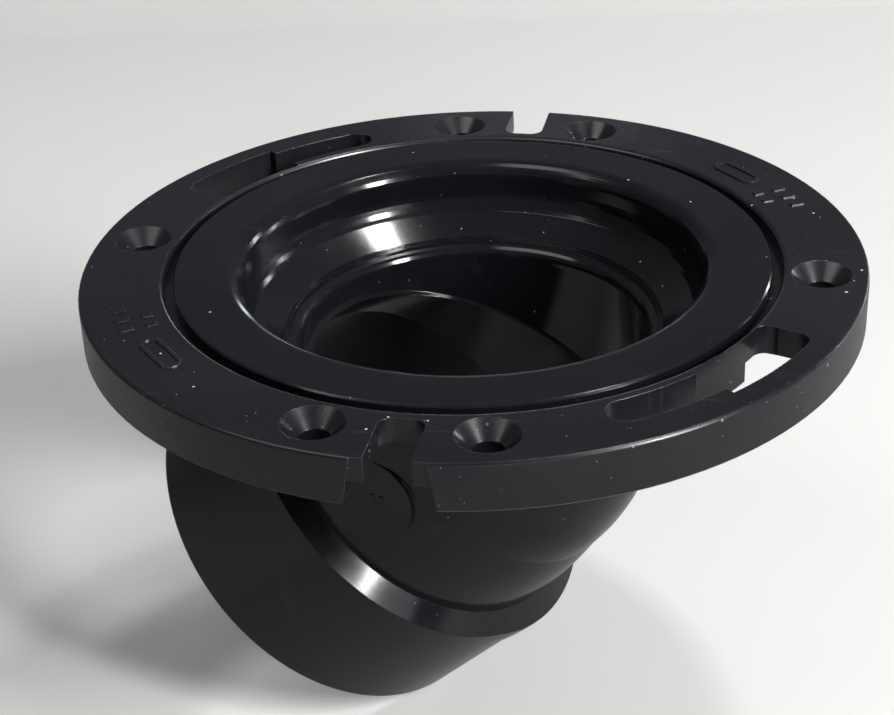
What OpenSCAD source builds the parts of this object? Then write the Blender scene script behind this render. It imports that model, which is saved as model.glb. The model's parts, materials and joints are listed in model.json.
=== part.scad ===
// Closet flange: a round floor ring that turns on the lip of a 45 degree elbow hub.
// The origin is on the flange axis in the plane of the ring's underside, Z up.
// The rim notches lie on the Y axis.

/* [Ring] */
// Outside diameter of the floor ring, in mm
ring_d = 177.8; // [174:0.2:184]
// Thickness of the floor ring, in mm
ring_t = 11.1; // [10:0.1:14]
// Diameter of the recess that takes the lip, in mm
recess_d = 140; // [138:0.2:140.4]
// Depth of the recess, in mm
recess_deep = 3.1; // [2.6:0.1:4]
// Diameter of the bore under the recess, in mm
ring_bore_d = 126.4; // [126:0.2:130]

/* [Screws and slots] */
// Radius of the screw circle, in mm
screw_r = 78.6; // [77:0.1:80]
// Diameter of the screw holes, in mm
screw_d = 6.5; // [4:0.1:8]
// Diameter of the countersinks, in mm
sink_d = 13.4; // [10:0.1:14]
// Angle from a rim notch to the screws beside it, in degrees
screw_off = 12.75; // [12:0.25:16]
// Width of the rim notches, in mm
notch_w = 9.6; // [7:0.2:11]
// Width of the bolt slots' narrow part, in mm
slot_w = 8.3; // [7:0.1:9]
// Width of the bolt slots' wide part, in mm
slot_wide = 12.4; // [10:0.1:12.8]

/* [Hub] */
// Diameter of the hub's lip, in mm
lip_d = 135.6; // [134:0.2:137]
// Bore of the bowl under its rounded edge, in mm
bowl_d = 105; // [102:0.5:108]
// Waterway diameter at the throat, in mm
throat_d = 79; // [76:0.5:80]
// Outside diameter of the outlet hub, in mm
hub_d = 100.54; // [100:0.1:104]
// Inside diameter of the outlet socket, in mm
socket_d = 89.2; // [88.9:0.1:90]
// Depth of the outlet socket, in mm
socket_deep = 38.1; // [34:0.1:39]
// Direction of the outlet around the flange axis at rest, in degrees
outlet_az = 165; // [0:1:359]

/* [Hidden] */
$fn = 96;
e = 0.01;

ring_r = ring_d / 2;
recess_r = recess_d / 2;
bore_r = ring_bore_d / 2;
ledge_z = ring_t - recess_deep;
edge_r = 0.8;
recess_round = 1.2;
sink_deep = (sink_d - screw_d) / 2;
pocket_z = 5.6;
notch_in = 73;
slot_mid = 76.95;
slot_start = 30.5;
slot_step = 49;
slot_end = 69.5;
relief_z = 4.5;
mark_h = 0.3;

knee_z = -28.1;
bend = 46;
body_r = 45.3;
hub_r = hub_d / 2;
mouth_s = 59.55;
seat_s = mouth_s - socket_deep;
step_s = 22;
bore_in = 76 / 2;
bend_run = bend * tan(22.5);
lip_r = lip_d / 2;
bowl_r = bowl_d / 2;
throat_r = throat_d / 2;
neck_r = 62.4;
ball_r = 43.75;
ball_z = -26.65;
lip_round = 3.7;
bowl_z = 4.4;
pad_d = 20;
pad_z = -29;

function arc(cx, cz, r, a0, a1, n = 8) =
    [for (i = [0:n]) let (a = a0 + (a1 - a0) * i / n) [cx + r * cos(a), cz + r * sin(a)]];

// outline with round ends: half the straight length, and the end radius
module stadium(half, r)
{
    polygon(concat(arc(half, 0, r, -90, 90, 7), arc(-half, 0, r, 90, 270, 7)));
}

// a block that follows the ring: radii r0 to r1, angles a0 to a1, heights z0 to z1
module sector(r0, r1, a0, a1, z0, z1)
{
    rotate([0, 0, a0])
        rotate_extrude(angle = a1 - a0)
            translate([r0, z0])
                square([r1 - r0, z1 - z0]);
}

// an upright cylinder at radius r and angle a
module post(r, a, d, z0, z1)
{
    rotate([0, 0, a])
        translate([r, 0, z0])
            cylinder(d = d, h = z1 - z0);
}

module ring_body()
{
    rotate_extrude()
        polygon(concat(
            [[bore_r, 0.4], [bore_r + 0.4, 0], [ring_r - 0.5, 0], [ring_r, 0.5]],
            arc(ring_r - edge_r, ring_t - edge_r, edge_r, 0, 90, 5),
            arc(recess_r + recess_round, ring_t - recess_round, recess_round, 90, 180, 5),
            [[recess_r, ledge_z], [bore_r, ledge_z]]
        ));
}

module screw_hole(a)
{
    post(screw_r, a, screw_d, -1, ring_t + 1);
    rotate([0, 0, a])
        translate([screw_r, 0, ring_t - sink_deep])
            cylinder(d1 = screw_d, d2 = sink_d + 0.02, h = sink_deep + e);
}

// rim notch on the +X side: a slot in the top plate over a wider pocket for a bolt head
module rim_notch()
{
    corner = 3;
    w = notch_w / 2;
    translate([notch_in + corner, -w, -1])
        cube([ring_r, 2 * w, ring_t + 2]);
    translate([notch_in, corner - w, -1])
        cube([corner + 1, 2 * (w - corner), ring_t + 2]);
    for (s = [-1, 1])
        translate([notch_in + corner, s * (w - corner), -1])
            cylinder(r = corner, h = ring_t + 2);
    rotate([90, 0, 90])
        translate([0, 0, bore_r - 4])
            linear_extrude(40)
                polygon([[-9.3, -0.1], [9.3, -0.1], [8.35, pocket_z], [-8.35, pocket_z]]);
    rotate([90, 0, 90])
        translate([0, 0, ring_r - 0.7])
            linear_extrude(2)
                polygon([[-9.3, -0.1], [9.3, -0.1], [7.5, ring_t + 0.1], [-7.5, ring_t + 0.1]]);
}

// keyhole slot, angles counted from the notch at -Y
module bolt_slot()
{
    top = ring_t + 1;
    half = slot_w / 2;
    wide = slot_wide / 2;
    inset = slot_w / 2 / slot_mid * 180 / PI;
    corner = 3.4;
    turn = corner / slot_mid * 180 / PI;
    sector(slot_mid - half, slot_mid + half, slot_start + inset, slot_step + 1, -1, top);
    post(slot_mid, slot_start + inset, slot_w, -1, top);
    sector(slot_mid - wide, slot_mid + wide, slot_step, slot_end - turn, -1, top);
    sector(slot_mid - wide + corner, slot_mid + wide - corner, slot_end - turn - 1, slot_end, -1, top);
    for (s = [-1, 1])
        post(slot_mid + s * (wide - corner), slot_end - turn, 2 * corner, -1, top);
    sector(bore_r - 2, slot_mid + wide, slot_end - 5, slot_end + 6, -1, relief_z);
}

// plain raised badge and bars
module mark()
{
    z0 = ring_t - 0.2;
    z1 = ring_t + mark_h;
    rotate([0, 0, -46.5])
        translate([77.9, 0, z0])
            rotate([0, 0, 90])
                difference() {
                    linear_extrude(z1 - z0)
                        stadium(4.8, 2.5);
                    translate([0, 0, -1])
                        linear_extrude(z1 - z0 + 2)
                            stadium(4.8, 1.6);
                }
    for (i = [0:2])
        sector(79, 82, -57 - 3.3 * i, -55.9 - 3.3 * i, z0, z1);
    for (i = [0:1])
        sector(73.8, 76.2, -57 - 3.4 * i, -55.8 - 3.4 * i, z0, z1);
}

module swivel_ring()
{
    color([0.035, 0.036, 0.04])
        union() {
            difference() {
                ring_body();
                for (a = [0, 180]) {
                    for (s = [-1, 1])
                        screw_hole(90 + a + s * screw_off);
                    screw_hole(a);
                    rotate([0, 0, 90 + a])
                        rim_notch();
                    rotate([0, 0, a - 90])
                        bolt_slot();
                }
            }
            for (a = [0, 180])
                rotate([0, 0, a - 90])
                    mark();
        }
}

// moves children from the 45 degree axis' own frame (Z along the outlet) to the part's
module on_outlet(s = 0)
{
    rotate([0, 0, outlet_az])
        translate([0, 0, knee_z])
            rotate([0, 135, 0])
                translate([0, 0, s])
                    children();
}

module bowl_outside()
{
    rotate_extrude()
        polygon([
            [0, ring_t], [lip_r - 0.4, ring_t], [lip_r, ring_t - 0.4], [lip_r, ledge_z + 0.35],
            [lip_r - 0.3, ledge_z + 0.05], [neck_r, ledge_z + 0.05], [neck_r, 2.6],
            [neck_r - 1.2, 1.4], [bowl_r + 5, 1.4], [bowl_r + 2, -1.4], [throat_r + 8, -8.7],
            [ball_r + 1.5, -12], [ball_r, -16], [ball_r, ball_z], [0, ball_z]
        ]);
}

module bend_outside()
{
    rotate([0, 0, outlet_az])
        translate([bend, 0, knee_z + bend_run])
            rotate([-90, 0, 180])
                rotate_extrude(angle = 45)
                    translate([bend, 0])
                        circle(r = body_r);
}

// the hub round the outlet: its shoulder cone cuts both the hub and the fuller heel
module outlet_outside()
{
    start = body_r - 1.3;
    slope = (hub_r - start) / (step_s - bend_run + 1);
    reach = 12;
    intersection() {
        on_outlet()
            rotate_extrude()
                polygon([
                    [0, bend_run - 1], [start, bend_run - 1], [start + reach, bend_run - 1 + reach / slope],
                    [start + reach, mouth_s + 1], [0, mouth_s + 1]
                ]);
        union() {
            on_outlet()
                rotate_extrude()
                    polygon(concat(
                        [[0, 5], [hub_r, 5]],
                        arc(hub_r - 1.2, mouth_s - 1.2, 1.2, 0, 90, 4),
                        [[0, mouth_s]]
                    ));
            on_outlet(24)
                translate([6.6, 0, 0])
                    sphere(r = 44.6);
        }
    }
}

// three plain raised bars on the round pad, Z out of the pad
module pad_bars()
{
    for (i = [-1, 0, 1])
        translate([-1.6, 2.4 * i - 0.5, 0])
            cube([3.2, 1, 0.4]);
}

module hub_outside()
{
    bowl_outside();
    bend_outside();
    translate([0, 0, ball_z])
        sphere(r = ball_r);
    outlet_outside();
    rotate([0, 0, outlet_az + 85])
        translate([body_r - 7.5, 0, pad_z])
            rotate([0, 90, 0]) {
                cylinder(d = pad_d, h = 7.7);
                translate([0, 0, 7.5])
                    pad_bars();
            }
}

module bowl_inside()
{
    rotate_extrude()
        polygon(concat(
            [[0, ring_t + 8], [bowl_r + lip_round, ring_t + 8]],
            arc(bowl_r + lip_round, ring_t - lip_round, lip_round, 90, 180, 6),
            arc(bowl_r - 8, bowl_z, 8, 0, -42, 5),
            [[43.7, -4.8], [43.7, -5.2], [43, -5.2], [43, -5.6]],
            arc(throat_r + 2.7, -8.3, 2.7, 90, 180, 5),
            [[throat_r, -9.3], [0, -9.3]]
        ));
}

// half space on the flange side of the plane where the two waterway bores meet
module flange_side(up)
{
    rotate([0, 0, outlet_az])
        translate([0, 0, knee_z])
            rotate([0, -22.5, 0])
                translate([-70, -70, up ? 0 : -70])
                    cube([140, 140, 70]);
}

module waterway()
{
    intersection() {
        translate([0, 0, -50])
            cylinder(r1 = bore_in, r2 = throat_r, h = 50 - 9.3 + e);
        flange_side(true);
    }
    intersection() {
        on_outlet(-30)
            cylinder(r = bore_in, h = seat_s + 31);
        flange_side(false);
    }
    on_outlet(seat_s)
        cylinder(r = socket_d / 2, h = socket_deep + 12);
    on_outlet(mouth_s - 1.8)
        cylinder(r1 = socket_d / 2, r2 = socket_d / 2 + 1.8 + e, h = 1.8 + e);
}

module elbow_hub()
{
    color([0.03, 0.031, 0.035])
        difference() {
            hub_outside();
            bowl_inside();
            waterway();
        }
}

swivel_ring();
elbow_hub();
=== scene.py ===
import json
import math

import bpy
from mathutils import Matrix, Vector


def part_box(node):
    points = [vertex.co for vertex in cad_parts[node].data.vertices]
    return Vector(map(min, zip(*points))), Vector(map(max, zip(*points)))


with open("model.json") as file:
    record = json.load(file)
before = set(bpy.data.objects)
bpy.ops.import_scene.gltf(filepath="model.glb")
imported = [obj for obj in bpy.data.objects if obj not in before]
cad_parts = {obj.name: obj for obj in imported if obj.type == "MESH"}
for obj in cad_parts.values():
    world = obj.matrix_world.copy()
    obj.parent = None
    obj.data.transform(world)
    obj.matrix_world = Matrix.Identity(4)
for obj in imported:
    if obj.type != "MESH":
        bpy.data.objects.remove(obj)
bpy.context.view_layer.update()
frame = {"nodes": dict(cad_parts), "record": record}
scene = bpy.context.scene
mountPlaces = {m["name"]: Vector(m["pos_m"]) for m in frame["record"]["mounts"]}
flangeTop = mountPlaces["wax_seat"].z  # height of the flange's top face
print("frame loaded:", len(frame["nodes"]), "nodes")


# shader effects, each built once as a group

def newEffect(name, inputs, outputs):
    group = bpy.data.node_groups.new(name, "ShaderNodeTree")
    for label, kind, value in inputs:
        socket = group.interface.new_socket(name=label, in_out="INPUT", socket_type="NodeSocket" + kind)
        if value is not None:
            socket.default_value = value
    for label, kind in outputs:
        group.interface.new_socket(name=label, in_out="OUTPUT", socket_type="NodeSocket" + kind)
    entry = group.nodes.new("NodeGroupInput")
    leave = group.nodes.new("NodeGroupOutput")
    return group, entry, leave


def addNode(tree, kind, **settings):
    node = tree.nodes.new("ShaderNode" + kind)
    for key, value in settings.items():
        setattr(node, key, value)
    return node


def join(tree, source, target):
    tree.links.new(source, target)


def mathNode(tree, operation, first, second=None, third=None, clamp=False):
    node = addNode(tree, "Math", operation=operation, use_clamp=clamp)
    for i, value in enumerate((first, second, third)):
        if value is None:
            continue
        if isinstance(value, (int, float)):
            node.inputs[i].default_value = value
        else:
            join(tree, value, node.inputs[i])
    return node.outputs[0]


def spread(tree, value, low, high, outLow=0.0, outHigh=1.0):
    node = addNode(tree, "MapRange", interpolation_type="SMOOTHSTEP")
    join(tree, value, node.inputs["Value"])
    limits = {"From Min": low, "From Max": high, "To Min": outLow, "To Max": outHigh}
    for label, number in limits.items():
        if isinstance(number, (int, float)):
            node.inputs[label].default_value = number
        else:
            join(tree, number, node.inputs[label])
    return node.outputs["Result"]


def noiseAt(tree, vector, scale, detail=2.0, roughness=0.5, distortion=0.0):
    node = addNode(tree, "TexNoise")
    join(tree, vector, node.inputs["Vector"])
    node.inputs["Scale"].default_value = scale
    node.inputs["Detail"].default_value = detail
    node.inputs["Roughness"].default_value = roughness
    node.inputs["Distortion"].default_value = distortion
    return node.outputs["Fac"]


# how the shared effects are drawn: noise scales are in waves per metre
# edge mask settings: the lighter edges are partly rubbed wear and partly a painted edge highlight
wearAndSheenLook = {
    "scale": 260,
    "patches": (0.4, 0.62),
    "edge": (0.995, 0.86),  # how far the rounded normal leans before an edge counts
}

skinLook = {
    "grainScale": 2600,
    "rippleScale": 55,
    "cloudScale": 18,
    "clouds": (0.3, 0.7),
}

dustLook = {
    "layers": ((620, 1.0), (1450, 0.9)),  # cells per metre, size against the first
    "settling": (-0.4, 0.7),  # faces that look down hold less dust
    "leastSettled": 0.35,
}

scratchLook = {
    "strokes": ((0.5, 900), (2.1, 1100), (1.25, 700)),  # turn in radians, fineness
    "stretch": 60,
    "lines": (0.76, 0.82),
    "patchScale": 42,
    "patches": (0.5, 0.62),
}


# lighter edges found from the Bevel normal: partly rubbed wear, partly a painted highlight along the
# edges
def makeEdgeWearAndSheen():
    group, entry, leave = newEffect(
        "edgeWearAndSheen",
        [("Vector", "Vector", None), ("Radius", "Float", 0.0006), ("Amount", "Float", 0.5)],
        [("Mask", "Float"), ("Rounded", "Vector")],
    )
    rounded = addNode(group, "Bevel", samples=4)
    join(group, entry.outputs["Radius"], rounded.inputs["Radius"])
    flat = addNode(group, "NewGeometry")
    turned = addNode(group, "VectorMath", operation="DOT_PRODUCT")
    join(group, rounded.outputs["Normal"], turned.inputs[0])
    join(group, flat.outputs["Normal"], turned.inputs[1])
    edge = spread(group, turned.outputs["Value"], *wearAndSheenLook["edge"])
    broken = noiseAt(group, entry.outputs["Vector"], wearAndSheenLook["scale"], 4.0, 0.65)
    broken = spread(group, broken, *wearAndSheenLook["patches"])
    wornAndSheen = mathNode(group, "MULTIPLY", edge, broken)
    wornAndSheen = mathNode(group, "MULTIPLY", wornAndSheen, entry.outputs["Amount"], clamp=True)
    join(group, wornAndSheen, leave.inputs["Mask"])
    join(group, rounded.outputs["Normal"], leave.inputs["Rounded"])
    return group


def makeMouldSkin():
    group, entry, leave = newEffect(
        "mouldSkin",
        [("Vector", "Vector", None), ("Grain", "Float", 0.5), ("Ripple", "Float", 0.5)],
        [("Height", "Float"), ("Cloud", "Float")],
    )
    grain = noiseAt(group, entry.outputs["Vector"], skinLook["grainScale"], 2.0, 0.6)
    ripple = noiseAt(group, entry.outputs["Vector"], skinLook["rippleScale"], 2.0, 0.4, 0.4)
    flow = noiseAt(group, entry.outputs["Vector"], skinLook["cloudScale"], 5.0, 0.6, 0.9)
    grain = mathNode(group, "MULTIPLY", grain, entry.outputs["Grain"])
    ripple = mathNode(group, "MULTIPLY", ripple, entry.outputs["Ripple"])
    join(group, mathNode(group, "ADD", grain, ripple), leave.inputs["Height"])
    join(group, spread(group, flow, *skinLook["clouds"]), leave.inputs["Cloud"])
    return group


def makeDust():
    group, entry, leave = newEffect(
        "dustSpecks",
        [("Vector", "Vector", None), ("Share", "Float", 0.1), ("Size", "Float", 0.22)],
        [("Mask", "Float")],
    )
    total = None
    for scale, shrink in dustLook["layers"]:
        cells = addNode(group, "TexVoronoi")
        join(group, entry.outputs["Vector"], cells.inputs["Vector"])
        cells.inputs["Scale"].default_value = scale
        cells.inputs["Randomness"].default_value = 1.0
        split = addNode(group, "SeparateColor")
        join(group, cells.outputs["Color"], split.inputs["Color"])
        chosen = mathNode(group, "LESS_THAN", split.outputs["Red"], entry.outputs["Share"])
        reach = mathNode(group, "MULTIPLY", split.outputs["Green"], entry.outputs["Size"])
        reach = mathNode(group, "MULTIPLY", reach, shrink)
        near = mathNode(group, "LESS_THAN", cells.outputs["Distance"], reach)
        speck = mathNode(group, "MULTIPLY", chosen, near)
        speck = mathNode(group, "MULTIPLY", speck, split.outputs["Blue"])
        total = speck if total is None else mathNode(group, "MAXIMUM", total, speck)
    up = addNode(group, "NewGeometry")
    part = addNode(group, "SeparateXYZ")
    join(group, up.outputs["Normal"], part.inputs["Vector"])
    low, high = dustLook["settling"]
    settled = spread(group, part.outputs["Z"], low, high, dustLook["leastSettled"], 1.0)
    join(group, mathNode(group, "MULTIPLY", total, settled), leave.inputs["Mask"])
    return group


def makeScratches():
    group, entry, leave = newEffect(
        "fineScratches",
        [("Vector", "Vector", None), ("Amount", "Float", 0.5)],
        [("Mask", "Float")],
    )
    total = None
    for turn, thin in scratchLook["strokes"]:
        place = addNode(group, "Mapping")
        join(group, entry.outputs["Vector"], place.inputs["Vector"])
        place.inputs["Rotation"].default_value = (0.3 * turn, 0.2, turn)
        place.inputs["Scale"].default_value = (scratchLook["stretch"], thin, scratchLook["stretch"])
        line = addNode(group, "TexNoise")
        join(group, place.outputs["Vector"], line.inputs["Vector"])
        line.inputs["Scale"].default_value = 1.0
        line.inputs["Detail"].default_value = 0.0
        lit = spread(group, line.outputs["Fac"], *scratchLook["lines"])
        total = lit if total is None else mathNode(group, "MAXIMUM", total, lit)
    patch = noiseAt(group, entry.outputs["Vector"], scratchLook["patchScale"], 2.0)
    patch = spread(group, patch, *scratchLook["patches"])
    total = mathNode(group, "MULTIPLY", total, patch)
    join(group, mathNode(group, "MULTIPLY", total, entry.outputs["Amount"]), leave.inputs["Mask"])
    return group


edgeWearAndSheen = makeEdgeWearAndSheen()
mouldSkin = makeMouldSkin()
dustSpecks = makeDust()
fineScratches = makeScratches()
print("shader groups ready")


ringPlastic = {
    "colour": (0.0034, 0.0038, 0.005, 1),
    "cloudColour": (0.0048, 0.0052, 0.0068, 1),
    # lighter tint: rubbed wear on scratches and edges, and on edges also a painted edge highlight
    "wornAndSheenColour": (0.085, 0.09, 0.105, 1),
    "dustColour": (0.30, 0.30, 0.31, 1),
    "roughness": (0.24, 0.32),
    "wornRoughness": 0.25,
    "dustRoughness": 0.5,
    "specular": 0.42,
    "edgeRadius": 0.0003,
    "wearAndSheen": 0.3,
    "dust": 0.05,
    "dustSize": 0.24,
    "scratch": 0.05,
    "grain": 0.35,
    "ripple": 1.0,
    "bump": 0.00002,
}

hubPlastic = {
    "colour": (0.0028, 0.003, 0.004, 1),
    "cloudColour": (0.004, 0.0043, 0.0056, 1),
    # lighter tint: rubbed wear on scratches and edges, and on edges also a painted edge highlight
    "wornAndSheenColour": (0.06, 0.063, 0.072, 1),
    "dustColour": (0.26, 0.26, 0.27, 1),
    "roughness": (0.11, 0.17),
    "wornRoughness": 0.25,
    "dustRoughness": 0.5,
    "specular": 0.34,
    "edgeRadius": 0.0003,
    "wearAndSheen": 0.12,
    "dust": 0.03,
    "dustSize": 0.22,
    "scratch": 0.05,
    "grain": 0.2,
    "ripple": 1.2,
    "bump": 0.00002,
}


def blackPlastic(name, facts):
    material = bpy.data.materials.new(name)
    material.use_nodes = True
    tree = material.node_tree
    tree.nodes.clear()
    out = addNode(tree, "OutputMaterial")
    shader = addNode(tree, "BsdfPrincipled")
    join(tree, shader.outputs["BSDF"], out.inputs["Surface"])
    place = addNode(tree, "TexCoord")

    def effect(group, **values):
        node = addNode(tree, "Group", node_tree=group)
        join(tree, place.outputs["Object"], node.inputs["Vector"])
        for label, value in values.items():
            node.inputs[label].default_value = value
        return node

    def tint(under, over, mask):
        mix = addNode(tree, "Mix", data_type="RGBA")
        join(tree, mask, mix.inputs["Factor"])
        for socket, value in ((mix.inputs[6], under), (mix.inputs[7], over)):
            if isinstance(value, tuple):
                socket.default_value = value
            else:
                join(tree, value, socket)
        return mix.outputs[2]

    # edge mask: partly rubbed wear, partly a painted highlight along the edges
    edge = effect(edgeWearAndSheen, Radius=facts["edgeRadius"], Amount=facts["wearAndSheen"])
    skin = effect(mouldSkin, Grain=facts["grain"], Ripple=facts["ripple"])
    dust = effect(dustSpecks, Share=facts["dust"], Size=facts["dustSize"])
    scratch = effect(fineScratches, Amount=facts["scratch"])

    colour = tint(facts["colour"], facts["cloudColour"], skin.outputs["Cloud"])
    marks = mathNode(tree, "MAXIMUM", edge.outputs["Mask"], scratch.outputs["Mask"])
    # edges take the lighter tint as wear and as a painted edge highlight; scratches take it as wear
    colour = tint(colour, facts["wornAndSheenColour"], marks)
    colour = tint(colour, facts["dustColour"], dust.outputs["Mask"])
    join(tree, colour, shader.inputs["Base Color"])

    low, high = facts["roughness"]
    rough = spread(tree, skin.outputs["Cloud"], 0.0, 1.0, low, high)
    rough = mathNode(tree, "MULTIPLY_ADD", marks, facts["wornRoughness"], rough)
    rough = mathNode(tree, "MULTIPLY_ADD", dust.outputs["Mask"], facts["dustRoughness"],
                     rough, clamp=True)
    join(tree, rough, shader.inputs["Roughness"])

    relief = addNode(tree, "Bump")
    relief.inputs["Strength"].default_value = 1.0
    relief.inputs["Distance"].default_value = facts["bump"]
    join(tree, skin.outputs["Height"], relief.inputs["Height"])
    join(tree, edge.outputs["Rounded"], relief.inputs["Normal"])
    join(tree, relief.outputs["Normal"], shader.inputs["Normal"])
    shader.inputs["Specular IOR Level"].default_value = facts["specular"]
    return material


def dress(node, material):
    body = frame["nodes"][node]
    body.data.materials.clear()
    body.data.materials.append(material)


dress("swivel_ring", blackPlastic("ringPlastic", ringPlastic))
dress("elbow_hub", blackPlastic("hubPlastic", hubPlastic))
print("materials placed")


# camera: it looks at the middle of the flange's top face, then turns a little to frame it

view = {
    "lens": 76.89,
    "sensorWidth": 36,
    "seesFrom": 0.01,
    "seesTo": 20,
    "distance": 0.43593,
    "height": 25.939,
    "around": 11.3,
    "pan": -0.84,
    "tilt": 3.026,
    "roll": -2.001,
}


def placeCamera(facts):
    lift = math.radians(facts["height"])
    back = Vector((0, -math.cos(lift), math.sin(lift)))
    right = Vector((1, 0, 0))
    up = back.cross(right)
    rows = Matrix((right, -up, -back))
    pan = Matrix.Rotation(math.radians(-facts["pan"]), 3, "Y")
    tilt = Matrix.Rotation(math.radians(facts["tilt"]), 3, "X")
    roll = Matrix.Rotation(math.radians(facts["roll"]), 3, "Z")
    rows = roll @ tilt @ pan @ rows
    axes = Matrix((rows[0], -rows[1], -rows[2])).transposed()
    turn = Matrix.Rotation(math.radians(facts["around"]), 3, "Z")
    eye = turn @ (back * facts["distance"]) + Vector((0, 0, flangeTop))
    data = bpy.data.cameras.new("viewCamera")
    data.lens = facts["lens"]
    data.sensor_width = facts["sensorWidth"]
    data.clip_start = facts["seesFrom"]
    data.clip_end = facts["seesTo"]
    camera = bpy.data.objects.new("viewCamera", data)
    scene.collection.objects.link(camera)
    camera.matrix_world = Matrix.Translation(eye) @ (turn @ axes).to_4x4()
    scene.camera = camera


placeCamera(view)
print("camera placed")


# light: soft boxes round the flange, each aimed at it. "toward" is azimuth and height in degrees

lamps = {
    "sideWindow": {"toward": (-27, 30), "reach": 1.3, "size": (0.56, 0.2), "power": 44,
                   "along": (-0.1, 0.3, 0.95), "tone": (1, 0.99, 0.97)},
    "topWindow": {"toward": (47, 67), "reach": 1.3, "size": (0.2, 0.12), "power": 8,
                  "along": (-0.42, 0.74, 0.43), "tone": (1, 0.99, 0.97)},
    "ceiling": {"toward": (-150, 62), "reach": 1.8, "size": (1.1, 0.8), "power": 10,
                "along": (1, 0, 0), "tone": (1, 0.98, 0.95)},
    "lowBackWindow": {"toward": (98, 9), "reach": 1.8, "size": (0.3, 0.12), "power": 0.7,
                      "along": (1, 0.2, 0), "tone": (0.9, 0.95, 1)},
    "slimTubeA": {"toward": (36, 8), "reach": 1.4, "size": (0.5, 0.03), "power": 2.5,
                  "along": (0, 0, 1), "tone": (0.95, 0.97, 1)},
    "slimTubeB": {"toward": (54, 8), "reach": 1.4, "size": (0.5, 0.03), "power": 2.5,
                  "along": (0, 0, 1), "tone": (0.95, 0.97, 1)},
    "frontFill": {"toward": (-34, 12), "reach": 1.3, "size": (0.6, 0.3), "power": 1.0,
                  "along": (1, 0.4, 0), "tone": (0.93, 0.96, 1)},
    "lowFill": {"toward": (-70, -2), "reach": 0.9, "size": (0.5, 0.06), "power": 0.6,
                "along": (1, 0.4, 0), "tone": (0.93, 0.96, 1)},
}


def hangLamp(name, facts):
    data = bpy.data.lights.new(name, "AREA")
    data.shape = "RECTANGLE"
    data.size, data.size_y = facts["size"]
    data.energy = facts["power"]
    data.color = facts["tone"]
    lamp = bpy.data.objects.new(name, data)
    scene.collection.objects.link(lamp)
    around, high = (math.radians(a) for a in facts["toward"])
    flat = math.cos(high)
    out = Vector((math.cos(around) * flat, math.sin(around) * flat, math.sin(high)))
    side = Vector(facts["along"])
    side = (side - out * side.dot(out)).normalized()
    axes = Matrix((side, out.cross(side), out)).transposed()
    lamp.matrix_world = Matrix.Translation(out * facts["reach"]) @ axes.to_4x4()


for lampName, facts in lamps.items():
    hangLamp(lampName, facts)


studio = {
    "paper": (0.42, 0.42, 0.42, 1),
    "paperCloud": (0.44, 0.44, 0.44, 1),
    "paperInGloss": (0.215, 0.215, 0.215, 1),
    "paperRoughness": 0.9,
    "paperSpecular": 0.1,
    "paperScale": 3,
    "floorFront": -1.6,
    "floorBack": 0.5,
    "curve": 0.35,
    "height": 2.0,
    "halfWidth": 2.2,
    "wallSteps": 18,
    "airColour": (0.9, 0.94, 1, 1),
    "airStrength": 0.15,
}


def palePaper():
    paper = bpy.data.materials.new("palePaper")
    paper.use_nodes = True
    tree = paper.node_tree
    shader = tree.nodes["Principled BSDF"]
    place = addNode(tree, "TexCoord")
    mix = addNode(tree, "Mix", data_type="RGBA")
    mix.inputs[6].default_value = studio["paper"]
    mix.inputs[7].default_value = studio["paperCloud"]
    cloud = noiseAt(tree, place.outputs["Object"], studio["paperScale"], 3.0)
    join(tree, spread(tree, cloud, 0.3, 0.7), mix.inputs["Factor"])
    # a studio choice, not how paper behaves: gloss is shown the paper at half its brightness
    rays = addNode(tree, "LightPath")
    dim = addNode(tree, "Mix", data_type="RGBA")
    dim.inputs[7].default_value = studio["paperInGloss"]
    join(tree, rays.outputs["Is Glossy Ray"], dim.inputs["Factor"])
    join(tree, mix.outputs[2], dim.inputs[6])
    join(tree, dim.outputs[2], shader.inputs["Base Color"])
    shader.inputs["Roughness"].default_value = studio["paperRoughness"]
    shader.inputs["Specular IOR Level"].default_value = studio["paperSpecular"]
    return paper


def layStrip(name, points, paper):
    turn = Matrix.Rotation(math.radians(view["around"]), 4, "Z")
    half = studio["halfWidth"]
    verts, faces = [], []
    for y, z in points:
        verts += [turn @ Vector((-half, y, z)), turn @ Vector((half, y, z))]
    for i in range(len(points) - 1):
        faces.append((2 * i, 2 * i + 1, 2 * i + 3, 2 * i + 2))
    mesh = bpy.data.meshes.new(name)
    mesh.from_pydata([tuple(v) for v in verts], [], faces)
    mesh.polygons.foreach_set("use_smooth", [True] * len(faces))
    mesh.materials.append(paper)
    strip = bpy.data.objects.new(name, mesh)
    scene.collection.objects.link(strip)
    return strip


def makeStudio():
    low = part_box("elbow_hub")[0].z
    back, curve = studio["floorBack"], studio["curve"]
    steps = studio["wallSteps"]
    paper = palePaper()
    layStrip("studioFloor", [(studio["floorFront"], low), (back, low)], paper)
    bend = [(back + curve * math.sin(a), low + curve - curve * math.cos(a))
            for a in (math.radians(90 * i / steps) for i in range(steps + 1))]
    wall = layStrip("studioWall", bend + [(back + curve, studio["height"])], paper)
    wall.visible_glossy = False  # also a studio choice: the plastic mirrors a dark room, not the wall


makeStudio()

sky = bpy.data.worlds.new("studioAir")
sky.use_nodes = True
skyShader = sky.node_tree.nodes["Background"]
skyShader.inputs["Color"].default_value = studio["airColour"]
skyShader.inputs["Strength"].default_value = studio["airStrength"]
scene.world = sky
scene.view_settings.view_transform = "Standard"
print("studio ready")
